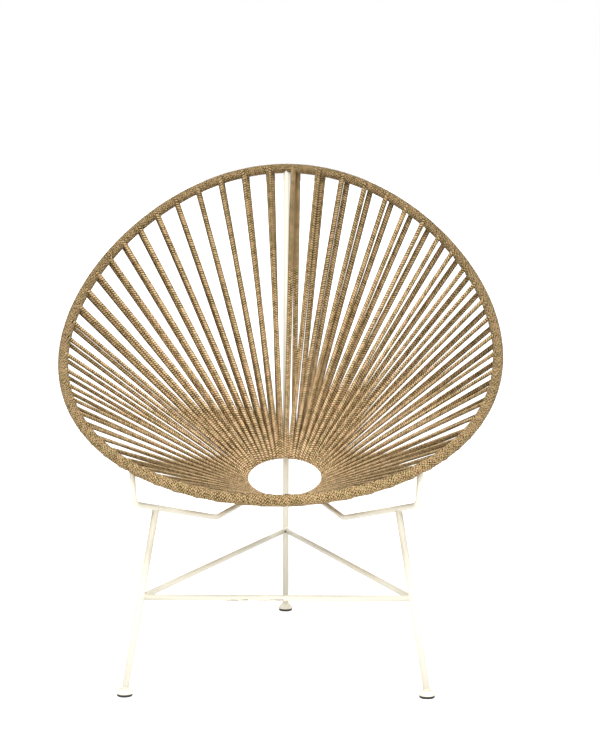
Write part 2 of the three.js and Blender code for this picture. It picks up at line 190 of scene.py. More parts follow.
world = bpy.data.worlds.new("studio")
bpy.context.scene.world = world
world.use_nodes = True
world.node_tree.nodes.clear()
sky = node_maker(world.node_tree)
sky_level = sky("ShaderNodeMapRange", {"Value": seen(sky), "To Min": WORLD_LIGHT, "To Max": 1.0})
sky_light = {"Color": WHITE, "Strength": sky_level.outputs["Result"]}
sky("ShaderNodeOutputWorld", {"Surface": sky("ShaderNodeBackground", sky_light).outputs[0]})
for lamp_name, (place, width, height, power) in LAMPS.items():
    lamp_data = bpy.data.lights.new(lamp_name, "AREA")
    lamp_data.shape = "RECTANGLE"
    lamp_data.size, lamp_data.size_y = width, height
    lamp_data.energy = power
    lamp = add_object(lamp_name, lamp_data)
    lamp.location = place
    lamp.rotation_euler = (AIM - Vector(place)).to_track_quat("-Z", "Y").to_euler()
print("lamps:", ", ".join(LAMPS))

# %% [markdown]
# ## Effects that the finishes share
# No real surface has one even colour. The group `uneven_tone` puts a broad drift and a fine
# speckle together, and the paint, the cord and the glides all take their colour and
# roughness through it, each with its own sizes. The group reads the object's own
# coordinates, so a pattern stays put when the chair is turned.

# %% Group: uneven tone
def new_group(name, inputs, outputs):
    """A node group, its input values and a function that adds a node.

    Each input is given with its number, or with None where it is a vector.
    """
    group = bpy.data.node_groups.new(name, "ShaderNodeTree")
    for socket_name, default in inputs.items():
        kind = "NodeSocketVector" if default is None else "NodeSocketFloat"
        socket = group.interface.new_socket(socket_name, in_out="INPUT", socket_type=kind)
        if default is not None:
            socket.default_value = default
    for socket_name in outputs:
        group.interface.new_socket(socket_name, in_out="OUTPUT", socket_type="NodeSocketFloat")
    node = node_maker(group)
    return group, node("NodeGroupInput").outputs, node


def uneven_tone_group():
    group, given, node = new_group(
        "uneven_tone",
        {"Place": None, "Drift scale": 12.0, "Speckle scale": 400.0, "Speckle share": 0.4},
        ["Tone", "Speckle"],
    )

    def noise(scale, detail):
        inputs = {"Vector": given["Place"], "Scale": given[scale], "Detail": detail}
        return node("ShaderNodeTexNoise", inputs).outputs[0]

    drift, speckle = noise("Drift scale", 3.0), noise("Speckle scale", 2.0)
    mixed = {"Factor": given["Speckle share"], "A": drift, "B": speckle}
    tone = node("ShaderNodeMix", mixed, data_type="FLOAT").outputs["Result"]
    node("NodeGroupOutput", {"Tone": tone, "Speckle": speckle})
    return group


uneven_tone = uneven_tone_group()
print("group made:", uneven_tone.name)

# %% Helpers for the finishes
def ramp_through(node, value, *shades):
    """A value's colour on a ramp: each shade is its place, from 0 to 1, and its colour."""
    ramp = node("ShaderNodeValToRGB", {"Fac": value})
    elements = ramp.color_ramp.elements
    for element, (position, colour) in zip(elements, (shades[0], shades[-1])):
        element.position = position
        element.color = colour
    for position, colour in shades[1:-1]:
        elements.new(position).color = colour
    return ramp.outputs["Color"]


def grained(node, place, sizes, shades, roughness, bump):
    """Colour, roughness and normal of a surface with an uneven tone and a fine grain."""
    tone = node("ShaderNodeGroup", {"Place": place, **sizes}, node_tree=uneven_tone).outputs
    rough = node("ShaderNodeMapRange", {"Value": tone["Speckle"], **roughness})
    grain = node("ShaderNodeBump", {"Height": tone["Speckle"], **bump})
    return {
        "Base Color": ramp_through(node, tone["Tone"], *shades),
        "Roughness": rough.outputs["Result"],
        "Normal": grain.outputs["Normal"],
    }


print("finish helpers made: ramp_through and grained")

# %% [markdown]
# ## Cream powder coat
# Powder coat is sprayed dry and baked, so it flows a little and keeps a very fine orange
# peel. It is satin rather than glossy. On the real chair the paint is rubbed brown along
# the underside of the front stretcher, where heels and floors catch it, so the material
# has a second colour that shows only there, in thin broken streaks.

# %% Powder coat material
CREAM = (0.862, 0.825, 0.698, 1.0)
CREAM_SHADE = (0.835, 0.789, 0.645, 1.0)
SCUFF_BROWN = (0.30, 0.20, 0.11, 1.0)
STRETCHER_Z = 158 * MM
SCUFF_TOP_Z = STRETCHER_Z - 1.5 * MM
SCUFF_SPANS_X = ((-0.084, -0.048), (-0.030, 0.012))
STREAK_SCALE = (60.0, 420.0, 420.0)


def with_scuffs(node, place, colour):
    """The colour with brown streaks: a noise drawn out along X, low on the rod, in spans."""
    calc = math_chain(node)
    parts = node("ShaderNodeSeparateXYZ", {0: place}).outputs
    drawn = node("ShaderNodeMapping", {"Vector": place, "Scale": STREAK_SCALE}).outputs[0]
    streak = node("ShaderNodeTexNoise", {"Vector": drawn, "Scale": 1.0, "Detail": 4.0})
    spans = []
    for span_start, span_end in SCUFF_SPANS_X:
        after = calc("GREATER_THAN", parts["X"], span_start)
        before = calc("LESS_THAN", parts["X"], span_end)
        spans.append(calc("MULTIPLY", after, before))
    low = calc("LESS_THAN", parts["Z"], SCUFF_TOP_Z)
    there = calc("MULTIPLY", calc("MAXIMUM", *spans), low)
    rubbed = calc("MULTIPLY", calc("GREATER_THAN", streak.outputs[0], 0.5), there)
    wear_and_painted_light = {"Factor": rubbed, "A": colour, "B": SCUFF_BROWN}
    return node("ShaderNodeMix", wear_and_painted_light, data_type="RGBA").outputs["Result"]


def powder_coat(name, scuffed):
    material, node = new_material(name)
    place = node("ShaderNodeTexCoord").outputs["Object"]
    look = grained(
        node,
        place,
        sizes={"Drift scale": 9.0, "Speckle scale": 500.0, "Speckle share": 0.25},
        shades=[(0.30, CREAM_SHADE), (0.58, CREAM)],
        roughness={"To Min": 0.34, "To Max": 0.50},
        bump={"Strength": 0.12, "Distance": 0.4 * MM},
    )
    if scuffed:
        look["Base Color"] = with_scuffs(node, place, look["Base Color"])
    coat = {"Coat Weight": 0.15, "Coat Roughness": 0.25}
    paint = node("ShaderNodeBsdfPrincipled", {**look, **coat})
    node("ShaderNodeOutputMaterial", {"Surface": paint.outputs[0]})
    return material


cream_paint = powder_coat("cream_powder_coat", scuffed=False)
rubbed_paint = powder_coat("cream_powder_coat_rubbed", scuffed=True)
print("paints:", cream_paint.name, "and", rubbed_paint.name)

# %% [markdown]
# ## Rods
# Every part of the frame is round steel rod, so one helper makes them all: it lays a
# circle of edges square to the path, extrudes it step by step along the path and closes
# the ends. A modifier on a curve would do the same, but the extrusion leaves a clean mesh
# whose rings can swell at a weld.

# %% Rod helper
ROD_SIDES = 32
SAME_PLACE = 0.005 * MM
X_AXIS = Vector((1.0, 0.0, 0.0))


def square_to(line, vector):
    """The part of a vector that stands square to a line, with a length of one."""
    return (vector - line * vector.dot(line)).normalized()


def circle(bm, sides, radius, stand):
    """Adds a circle of edges: returns its corners and its edges."""
    verts = bmesh.ops.create_circle(bm, segments=sides, radius=radius, matrix=stand)["verts"]
    return verts, list(dict.fromkeys(edge for vert in verts for edge in vert.link_edges))


def spun(bm, geom, centre, axis, steps):
    """Spins an outline once round an axis and joins its two ends."""
    turn = {"cent": centre, "axis": axis, "angle": FULL_TURN, "steps": steps}
    bmesh.ops.spin(bm, geom=geom, use_merge=True, **turn)
    bmesh.ops.remove_doubles(bm, verts=bm.verts, dist=SAME_PLACE)
    bmesh.ops.recalc_face_normals(bm, faces=bm.faces)


def turned_to(point, tangent, normal):
    """The matrix that stands a flat circle on a point, square to the tangent."""
    side = tangent.cross(normal).normalized()
    flat = side.cross(tangent).normalized()
    return Matrix(
        (
            (flat.x, side.x, tangent.x, point.x),
            (flat.y, side.y, tangent.y, point.y),
            (flat.z, side.z, tangent.z, point.z),
            (0.0, 0.0, 0.0, 1.0),
        )
    )


def sweep(bm, points, radii, sides=ROD_SIDES, closed=False):
    """Carries a circle along the points by extruding its edges, one step at a time."""
    count = len(points)
    if isinstance(radii, float):
        radii = [radii] * count
    tangents = []
    for i in range(count):
        ahead = points[(i + 1) % count] if closed or i < count - 1 else points[i]
        behind = points[i - 1] if closed or i > 0 else points[i]
        tangents.append((ahead - behind).normalized())
    normal = tangents[0].orthogonal().normalized()
    for i, (point, tangent) in enumerate(zip(points, tangents)):
        normal = square_to(tangent, normal)
        stand = turned_to(point, tangent, normal) @ Matrix.Scale(radii[i], 4)
        if i == 0:
            _, rim = circle(bm, sides, 1.0, stand)
            first_rim = rim
        else:
            made = bmesh.ops.extrude_edge_only(bm, edges=rim)["geom"]
            corners = [g for g in made if isinstance(g, bmesh.types.BMVert)]
            rim = [g for g in made if isinstance(g, bmesh.types.BMEdge)]
            rim = [edge for edge in rim if all(vert in corners for vert in edge.verts)]
            bmesh.ops.transform(bm, matrix=stand @ last_stand.inverted(), verts=corners)
        last_stand = stand
    if closed:
        bmesh.ops.bridge_loops(bm, edges=first_rim + rim)
    else:
        for end in (first_rim, rim):
            bmesh.ops.holes_fill(bm, edges=end, sides=0)
    bmesh.ops.recalc_face_normals(bm, faces=bm.faces)


def place_mesh(name, mesh, material, slot, *nodes):
    """Makes a mesh a smooth-shaded piece on the root body, in place of CAD nodes."""
    mesh.polygons.foreach_set("use_smooth", [True] * len(mesh.polygons))
    mesh.materials.clear()
    mesh.materials.append(material)
    piece = add_object(name, mesh)
    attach(piece, "root")
    if nodes:
        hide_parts(*nodes)
    print(name, "faces:", len(mesh.polygons))


def place_piece(name, bm, material, slot, *nodes):
    """Writes an edited mesh and places it."""
    mesh = bpy.data.meshes.new(name)
    bm.to_mesh(mesh)
    bm.free()
    place_mesh(name, mesh, material, slot, *nodes)


def rod(name, points, radii, *nodes, material=cream_paint, **how):
    """A swept rod as one piece of the frame."""
    bm = bmesh.new()
    sweep(bm, points, radii, **how)
    place_piece(name, bm, material, "frame_paint", *nodes)


print("rods have", ROD_SIDES, "sides unless they are told otherwise")

# %% [markdown]
# ## The egg-shaped hoop and the ring
# The hoop is wide at the front and narrow at the top, and it bellies down a little between
# the two. One formula gives its centre line: a point moves along the hoop's axis as it
# swings out to the side, and the swing is wider near the front. The cords are placed by
# the length of rod between them, so the curve is measured into a table of lengths.

# %% Hoop line
HOOP_ROD = 10 * MM
HOOP_HALF_WIDTH = 387 * MM
HOOP_EGG_SHARE = 0.115
HOOP_BELLY = 20 * MM
HOOP_FRONT = Vector((0.0, FRONT_FEET_Y - 41 * MM, 341 * MM))
HOOP_TOP = Vector((0.0, FRONT_FEET_Y + 720 * MM, 873 * MM))
HOOP_SAMPLES = 4800

hoop_axis = (HOOP_TOP - HOOP_FRONT).normalized()
hoop_length = (HOOP_TOP - HOOP_FRONT).length
hoop_normal = X_AXIS.cross(hoop_axis)


def hoop_at(turn):
    """A point of the hoop's centre line: turn 0 is the front, and +X comes next."""
    share = (1 - math.cos(turn)) / 2
    point = HOOP_FRONT + hoop_axis * (hoop_length * share)
    point -= hoop_normal * (HOOP_BELLY * 4 * share * (1 - share))
    egg = 1 + HOOP_EGG_SHARE * math.cos(turn)
    point.x = HOOP_HALF_WIDTH * math.sin(turn) * egg
    return point


hoop_line = np.array([hoop_at(FULL_TURN * i / HOOP_SAMPLES) for i in range(HOOP_SAMPLES + 1)])
hoop_steps = np.linalg.norm(np.diff(hoop_line, axis=0), axis=1)
hoop_lengths = np.concatenate([[0.0], np.cumsum(hoop_steps)])
HOOP_ROUND = float(hoop_lengths[-1])


def hoop_by_length(length):
    """The point of the hoop this far along it from the middle of the front."""
    length = length % HOOP_ROUND
    return Vector([float(np.interp(length, hoop_lengths, hoop_line[:, c])) for c in range(3)])


print("hoop rod is", round(HOOP_ROUND, 3), "m long")

# %% Hoop rod and ring rod
RING_ROD = 10 * MM
RING_RADIUS = 81 * MM
RING_TILT = math.radians(25)
RING_HEIGHT = 276 * MM
LEG_ROD = 12 * MM
SEAT_GAP = 0.3 * MM
LEG_START = 9.3 * MM
REAR_SETBACK = 606 * MM
HOOP_RINGS, HOOP_SIDES = 360, 16
RING_RINGS, RING_SIDES = 144, 24

rear_foot = Vector((0.0, FRONT_FEET_Y + REAR_SETBACK, LEG_START))
rear_run = (HOOP_TOP - rear_foot).normalized()
ring_forward = Vector((0.0, -math.cos(RING_TILT), -math.sin(RING_TILT)))
ring_up = Vector((0.0, -math.sin(RING_TILT), math.cos(RING_TILT)))
ring_rear_z = RING_HEIGHT + RING_RADIUS * math.sin(RING_TILT)
leg_at_ring = rear_foot + rear_run * ((ring_rear_z - rear_foot.z) / rear_run.z)
ring_to_leg = (LEG_ROD / 2 + SEAT_GAP + RING_ROD / 2) / rear_run.z
ring_y = leg_at_ring.y - ring_to_leg - RING_RADIUS * math.cos(RING_TILT)
ring_centre = Vector((0.0, ring_y, RING_HEIGHT))


def ring_at(angle):
    """A point of the ring's centre line: angle 0 is the front, and +X comes next."""
    across = X_AXIS * (RING_RADIUS * math.sin(angle))
    return ring_centre + across + ring_forward * (RING_RADIUS * math.cos(angle))


def ring_tangent(angle):
    return X_AXIS * math.cos(angle) - ring_forward * math.sin(angle)


hoop_path = [hoop_by_length(HOOP_ROUND * i / HOOP_RINGS) for i in range(HOOP_RINGS)]
rod("hoop_rod", hoop_path, HOOP_ROD / 2, "outer_hoop", sides=HOOP_SIDES, closed=True)

# The ring is a true circle, so spinning one circle about the ring's middle is enough
ring_mesh = bmesh.new()
ring_stand = turned_to(ring_at(0.0), ring_tangent(0.0), ring_up)
ring_verts, ring_edges = circle(ring_mesh, RING_SIDES, RING_ROD / 2, ring_stand)
spun(ring_mesh, ring_verts + ring_edges, ring_centre, ring_up, RING_RINGS)
place_piece("ring_rod", ring_mesh, cream_paint, "frame_paint", "inner_ring")

# %% [markdown]
# ## Legs, brackets and stretchers
# The rear leg is one straight rod up to the top of the hoop. On each side a bracket drops
# from the hoop, turns under the seat and runs back to the ring. The front legs come up
# under the brackets. Three thinner rods tie the legs into a triangle. A bent rod has a
# round bend at each corner, so its path is a set of corners with a radius each.

# %% Paths of the bent rods
BEND_STEPS = 14


def filleted(corners, radii):
    """A path through corners, with a round bend of its radius at each inner corner."""
    path = [corners[0].copy()]
    for i in range(1, len(corners) - 1):
        into = (corners[i] - corners[i - 1]).normalized()
        onward = (corners[i + 1] - corners[i]).normalized()
        turn = into.angle(onward)
        start = corners[i] - into * (radii[i - 1] * math.tan(turn / 2))
        inward = square_to(into, onward)
        centre = start + inward * radii[i - 1]
        for step in range(BEND_STEPS + 1):
            angle = turn * step / BEND_STEPS
            point = centre - inward * (radii[i - 1] * math.cos(angle))
            path.append(point + into * (radii[i - 1] * math.sin(angle)))
    path.append(corners[-1].copy())
    return path


def as_it_is(point):
    return point


def mirrored(point):
    return Vector((-point.x, point.y, point.z))


SIDES = (("right", as_it_is), ("left", mirrored))
print("steps in one bend:", BEND_STEPS)

# %% Stations of the cords on the hoop
SPOKES = 60
HALF_SPOKES = SPOKES // 2
SPOKE_GRADE_SHARE = 0.19


def station_length(j):
    """How far along the hoop the middle between two cords is, closer at the front."""
    even = (j if j <= HALF_SPOKES else SPOKES - j) / HALF_SPOKES
    share = even - (SPOKE_GRADE_SHARE / math.pi) * math.sin(math.pi * even)
    length = share * HOOP_ROUND / 2
    return length if j <= HALF_SPOKES else HOOP_ROUND - length


stations = [station_length(j) for j in range(SPOKES + 1)]
print("cord pitch at the front", round((stations[1] - stations[0]) / MM, 1), "mm")
top_pitch = stations[HALF_SPOKES] - stations[HALF_SPOKES - 1]
print("cord pitch at the top", round(top_pitch / MM, 1), "mm")

# %% Brackets
BRACKET_ROD = 10 * MM
BRACKET_STATION = 7
RING_WELD_STATION = 8
BRACKET_DROP = 62 * MM
ELBOW_INSET = 3 * MM
KNEE = Vector((114 * MM, FRONT_FEET_Y + 262 * MM, 253.5 * MM))
ELBOW_RADIUS = 18 * MM
KNEE_RADIUS = 90 * MM
RING_LAP = 3 * MM
SADDLE = 3 * MM

bracket_angle = FULL_TURN * RING_WELD_STATION / SPOKES
bracket_top = hoop_by_length(stations[BRACKET_STATION])
elbow = bracket_top - Vector((ELBOW_INSET, 0.0, BRACKET_DROP))
lap_point = ring_at(bracket_angle)
lap_down = ring_tangent(bracket_angle).cross((lap_point - KNEE).normalized()).normalized()
if lap_down.z > 0:
    lap_down.negate()
bracket_lap = lap_point + lap_down * (RING_ROD / 2 + SEAT_GAP + BRACKET_ROD / 2)
bracket_end = bracket_lap + (bracket_lap - KNEE).normalized() * RING_LAP
bracket_rise = (bracket_top - elbow).normalized()
bracket_start = bracket_top - bracket_rise * (HOOP_ROD / 2 + SEAT_GAP - SADDLE)
bracket_corners = [bracket_start, elbow, KNEE, bracket_end]

for side, flip in SIDES:
    path = filleted([flip(corner) for corner in bracket_corners], [ELBOW_RADIUS, KNEE_RADIUS])
    rod(f"bracket_rod_{side}", path, BRACKET_ROD / 2, f"bracket_{side}")

# %% Straight legs
FOOT_HALF_SPACING = 253 * MM
LEG_HEAD_REACH = 68.9 * MM
HEAD_SADDLE = 1 * MM

slope_run = (KNEE - elbow).normalized()
leg_head = elbow + slope_run * LEG_HEAD_REACH
front_foot = Vector((FOOT_HALF_SPACING, FRONT_FEET_Y, LEG_START))
front_run = (leg_head - front_foot).normalized()
front_end = leg_head - front_run * (BRACKET_ROD / 2 + SEAT_GAP - HEAD_SADDLE)
rear_end = HOOP_TOP - rear_run * (HOOP_ROD / 2 + SEAT_GAP - SADDLE)

leg_lines = {
    "front_leg_right": (front_foot, front_end),
    "front_leg_left": (mirrored(front_foot), mirrored(front_end)),
    "rear_leg": (rear_foot, rear_end),
}
for node_name, (low, high) in leg_lines.items():
    rod(f"{node_name}_rod", [low, low.lerp(high, 0.5), high], LEG_ROD / 2, node_name)

# %% Stretchers
STRETCHER_ROD = 10 * MM


def on_leg(foot, run):
    return foot + run * ((STRETCHER_Z - foot.z) / run.z)


front_joint = on_leg(front_foot, front_run)
rear_joint = on_leg(rear_foot, rear_run)
stretcher_lines = {
    "front_stretcher": (mirrored(front_joint), front_joint),
    "side_stretcher_right": (front_joint, rear_joint),
    "side_stretcher_left": (mirrored(front_joint), rear_joint),
}
for node_name, (start, stop) in stretcher_lines.items():
    paint = rubbed_paint if node_name == "front_stretcher" else cream_paint
    line = [start, start.lerp(stop, 0.5), stop]
    rod(f"{node_name}_rod", line, STRETCHER_ROD / 2, node_name, material=paint)

# %% [markdown]
# ## Weld beads
# Where one rod meets another, the welder runs a bead round the joint, and the powder coat
# softens it. The bead follows the line where the two rods' surfaces cross. That line is
# found by walking round the thin rod and sliding each point along it until it touches the
# other rod. The bead itself is a thin rod that swells and narrows as the puddles do.

# %% Bead helper
BEAD_RADIUS = 1.5 * MM
BEAD_STEPS = 56
BEAD_SIDES = 10
BEAD_PUDDLES = 14
BEAD_RIPPLE_SHARE = 0.14
BEAD_TAPER_PARTS = 5
BEAD_TIP_SHARE = 0.25


def circle_round(centre, run, radius):
    """Points on a circle square to a rod that runs this way."""
    flat = run.orthogonal().normalized()
    side = run.cross(flat)
    turns = [FULL_TURN * i / BEAD_STEPS for i in range(BEAD_STEPS)]
    return [
        centre + flat * (radius * math.cos(turn)) + side * (radius * math.sin(turn))
        for turn in turns
    ]


def bead_round(origin, run, radius, post, post_run, post_radius):
    """The line where a rod that runs from a post leaves the post's surface."""
    run = run.normalized()
    post_run = post_run.normalized()
    slide = run - post_run * run.dot(post_run)
    line = []
    for rim in circle_round(origin, run, radius):
        apart = rim - post
        across = apart - post_run * apart.dot(post_run)
        # A quadratic gives how far the point slides to the post's surface
        a = slide.dot(slide)
        b = 2 * across.dot(slide)
        c = across.dot(across) - post_radius * post_radius
        root = max(b * b - 4 * a * c, 0.0)
        line.append(rim + run * ((-b + math.sqrt(root)) / (2 * a)))
    return line


def bead(name, line, closed=True):
    """A rippled rod along a line, thinner towards both ends where it has ends."""
    count = len(line)
    radii = []
    for i in range(count):
        swell = 1 + BEAD_RIPPLE_SHARE * math.cos(FULL_TURN * BEAD_PUDDLES * i / count)
        near_end = min(i, count - 1 - i) / (count / BEAD_TAPER_PARTS)
        taper = 1.0 if closed else max(BEAD_TIP_SHARE, min(1.0, near_end))
        radii.append(BEAD_RADIUS * swell * taper)
    rod(name, line, radii, sides=BEAD_SIDES, closed=closed)


print("puddles in one bead:", BEAD_PUDDLES)

# %% Beads of the frame
# The bead at a leg's head is narrower than the leg, to lie in the crease under the bracket
HEAD_BEAD_RADIUS = 4.6 * MM

tie_radius = STRETCHER_ROD / 2
leg_radius = LEG_ROD / 2
for side, flip in SIDES:
    joint, head, run = flip(front_joint), flip(leg_head), flip(front_run)
    across, back = mirrored(joint) - joint, rear_joint - joint
    crossings = {
        "front_tie": (joint, across, tie_radius, joint, run, leg_radius),
        "side_tie": (joint, back, tie_radius, joint, run, leg_radius),
        "rear_tie": (rear_joint, -back, tie_radius, rear_joint, rear_run, leg_radius),
        "leg_head": (head, -run, HEAD_BEAD_RADIUS, head, flip(slope_run), BRACKET_ROD / 2),
    }
    for joint_name, crossing in crossings.items():
        bead(f"bead_{joint_name}_{side}", bead_round(*crossing))

# %% Beads of the ring
LAP_BEAD_HALF = 7 * MM
LAP_BEAD_STEPS = 24
LAP_BEAD_OFFSET = 3.4 * MM

# Short beads fill the crease above and below the place where the ring touches the rear leg
touch = ring_at(math.pi) - ring_forward * (RING_ROD / 2)
shares = [2 * i / (LAP_BEAD_STEPS - 1) - 1 for i in range(LAP_BEAD_STEPS)]
for tag, offset in (("over", LAP_BEAD_OFFSET), ("under", -LAP_BEAD_OFFSET)):
    line = [touch + X_AXIS * (LAP_BEAD_HALF * share) + ring_up * offset for share in shares]
    bead(f"bead_ring_leg_{tag}", line, closed=False)

# %% [markdown]
# ## Feet
# Each leg ends in a small cone-shaped cup, with a dark moulded glide pressed into it from
# below. Both are turned shapes, so half an outline is drawn as a chain of edges and spun
# round the upright line through the foot. A bevel then rounds the corners of the outline.

# %% Turned shapes
FOOT_STEPS = 64
FOOT_EDGE = 0.35 * MM


def turned(profile, foot):
    """Spins a half outline, given as radius and height in mm, round the foot's upright."""
    bm = bmesh.new()
    chain = [bm.verts.new((foot.x + r * MM, foot.y, z * MM)) for r, z in profile]
    for pair in zip(chain, chain[1:]):
        bm.edges.new(pair)
    bmesh.ops.bevel(
        bm,
        geom=chain[1:-1],
        offset=FOOT_EDGE,
        offset_type="OFFSET",
        affect="VERTICES",
        segments=3,
        profile=0.5,
        material=-1,
    )
    spun(bm, bm.verts[:] + bm.edges[:], (foot.x, foot.y, 0.0), (0.0, 0.0, 1.0), FOOT_STEPS)
    return bm


print("steps round a foot:", FOOT_STEPS)

# %% Cups and glides
CUP_PROFILE = (
    (0.0, 7.4), (6.3, 7.4), (6.3, 4.5), (13.2, 4.5), (14.0, 5.3),
    (14.0, 6.0), (13.0, 7.1), (9.9, 11.8), (9.0, 12.5), (0.0, 12.5),
)
GLIDE_PROFILE = (
    (0.0, 0.0), (10.0, 0.0), (12.6, 0.6), (13.2, 1.8), (13.2, 3.5),
    (12.4, 4.2), (6.0, 4.2), (6.0, 6.8), (0.0, 6.8),
)
CUP_BEAD_Z = 12.6 * MM
GLIDE_BLACK = (0.010, 0.009, 0.008, 1.0)
GLIDE_GREY = (0.030, 0.026, 0.022, 1.0)


def glide_material():
    material, node = new_material("black_glide_plastic")
    look = grained(
        node,
        node("ShaderNodeTexCoord").outputs["Object"],
        sizes={"Drift scale": 90.0, "Speckle scale": 1800.0, "Speckle share": 0.5},
        shades=[(0.3, GLIDE_BLACK), (0.75, GLIDE_GREY)],
        roughness={"To Min": 0.42, "To Max": 0.72},
        bump={"Strength": 0.3, "Distance": 0.2 * MM},
    )
    plastic = node("ShaderNodeBsdfPrincipled", look)
    node("ShaderNodeOutputMaterial", {"Surface": plastic.outputs[0]})
    return material


glide_plastic = glide_material()
feet = {
    "front_right": (front_foot, front_run),
    "front_left": (mirrored(front_foot), mirrored(front_run)),
    "rear": (rear_foot, rear_run),
}
for tag, (foot, run) in feet.items():
    cup, glide = turned(CUP_PROFILE, foot), turned(GLIDE_PROFILE, foot)
    place_piece(f"foot_cup_shell_{tag}", cup, cream_paint, "frame_paint", f"foot_cup_{tag}")
    place_piece(f"glide_pad_{tag}", glide, glide_plastic, "glide", f"glide_{tag}")
    waist = foot + run * ((CUP_BEAD_Z - foot.z) / run.z)
    bead(f"bead_cup_{tag}", circle_round(waist, run, leg_radius))

# %% [markdown]
# ## Braided cord: the finish
# The cord is a soft braid, and its yarns lie in columns along it. In one column they slant
# to the left and in the next to the right, so together they look like rows of chevrons with
# deep gaps between the yarns, which the material fills with painted shade. The group
# `round_braid` draws them from the piece's own UV map, where V is the length along the cord
# in metres, and U goes round it once, or more often where the weave is open. A ping-pong of
# U turns the slant back in every other column.

# %% Group: round braid
# How square the rise of a column and of a stitch is: two is an arc, and more is squarer
COLUMN_SQUARENESS, STITCH_SQUARENESS = 2.2, 1.6
# How fast the fibres change along the cord, across it and from column to column
FIBRES_ALONG, FIBRES_ACROSS, FIBRES_PER_COLUMN = 5.0, 0.8, 7.3
FIBRE_SCALE = 2.2


def round_braid_group():
    group, given, node = new_group(
        "round_braid",
        {"UV": None, "Columns": 4.0, "Stitch": 4.4 * MM, "Slant": 0.6},
        ["Height", "Yarn", "Fibre"],
    )
    calc = math_chain(node)
    parts = node("ShaderNodeSeparateXYZ", {0: given["UV"]}).outputs
    around = calc("MULTIPLY", parts["X"], given["Columns"])
    column, within = calc("FLOOR", around), calc("FRACT", around)
    turned_back = calc("MULTIPLY", calc("PINGPONG", around, 1.0), given["Slant"])
    # Every other column is half a stitch further on
    stepped = calc("MULTIPLY", calc("FLOORED_MODULO", column, 2.0), 0.5)
    onward = calc("DIVIDE", parts["Y"], given["Stitch"])
    phase = calc("ADD", calc("ADD", onward, turned_back), stepped)
    row, share = calc("FLOOR", phase), calc("FRACT", phase)

    def hump(value, power):
        centred = calc("ABSOLUTE", calc("SUBTRACT", calc("MULTIPLY", value, 2.0), 1.0))
        return calc("SUBTRACT", 1.0, calc("POWER", centred, power))

    # Between two columns the braid is half as high as in the middle of one
    rounded = calc("ADD", calc("MULTIPLY", hump(within, COLUMN_SQUARENESS), 0.5), 0.5)
    # Each stitch has a tone of its own, told apart by its row and its column
    stitch_place = node("ShaderNodeCombineXYZ", {"X": row, "Y": column}).outputs[0]
    yarn = node("ShaderNodeTexWhiteNoise", {"Vector": stitch_place}, noise_dimensions="2D")
    # Fine fibres run along each yarn, across the cord
    fibre_place = {
        "X": calc("MULTIPLY", share, FIBRES_ALONG),
        "Y": calc("MULTIPLY", within, FIBRES_ACROSS),
        "Z": calc("ADD", row, calc("MULTIPLY", column, FIBRES_PER_COLUMN)),
    }
    vector = node("ShaderNodeCombineXYZ", fibre_place).outputs[0]
    fibre = node("ShaderNodeTexNoise", {"Vector": vector, "Scale": FIBRE_SCALE, "Detail": 2.0})
    made = {
        "Height": calc("MULTIPLY", hump(share, STITCH_SQUARENESS), rounded),
        "Yarn": yarn.outputs["Value"],
        "Fibre": fibre.outputs[0],
    }
    node("NodeGroupOutput", made)
    return group


round_braid = round_braid_group()
print("group made:", round_braid.name)

# %% Cord material
CORD_CREVICE = (0.022, 0.012, 0.004, 1.0)
CORD_BODY = (0.46, 0.288, 0.115, 1.0)
CORD_CROWN = (0.79, 0.582, 0.300, 1.0)
CORD_PINK = (0.66, 0.37, 0.20, 1.0)
CORD_OLIVE = (0.42, 0.35, 0.12, 1.0)
COLUMNS_ROUND = 4.0
STITCH = 4.8 * MM
STITCH_SLANT = 0.6
BRAID_HEIGHT = 0.7 * MM
# How much the height, the fibres and the yarn's own tone count in the shade of a stitch
HEIGHT_SHARE, FIBRE_SHARE, YARN_SHARE = 0.85, 0.25, 0.34
# Which yarns are tinted: a comparison, its limits for the speckle and the yarn, the colour
TINTS = (("GREATER_THAN", 0.53, 0.45, CORD_PINK), ("LESS_THAN", 0.46, 0.5, CORD_OLIVE))
TINT_SHARE = 0.4
DRIFT_SHARE, DRIFT_FROM = 0.6, 0.70
# Cord with more painted light is greyer: between these tones the saturation falls from one to the
# other
GREYING = {"From Min": 0.8, "From Max": 1.2, "To Min": 1.0, "To Max": 0.88}


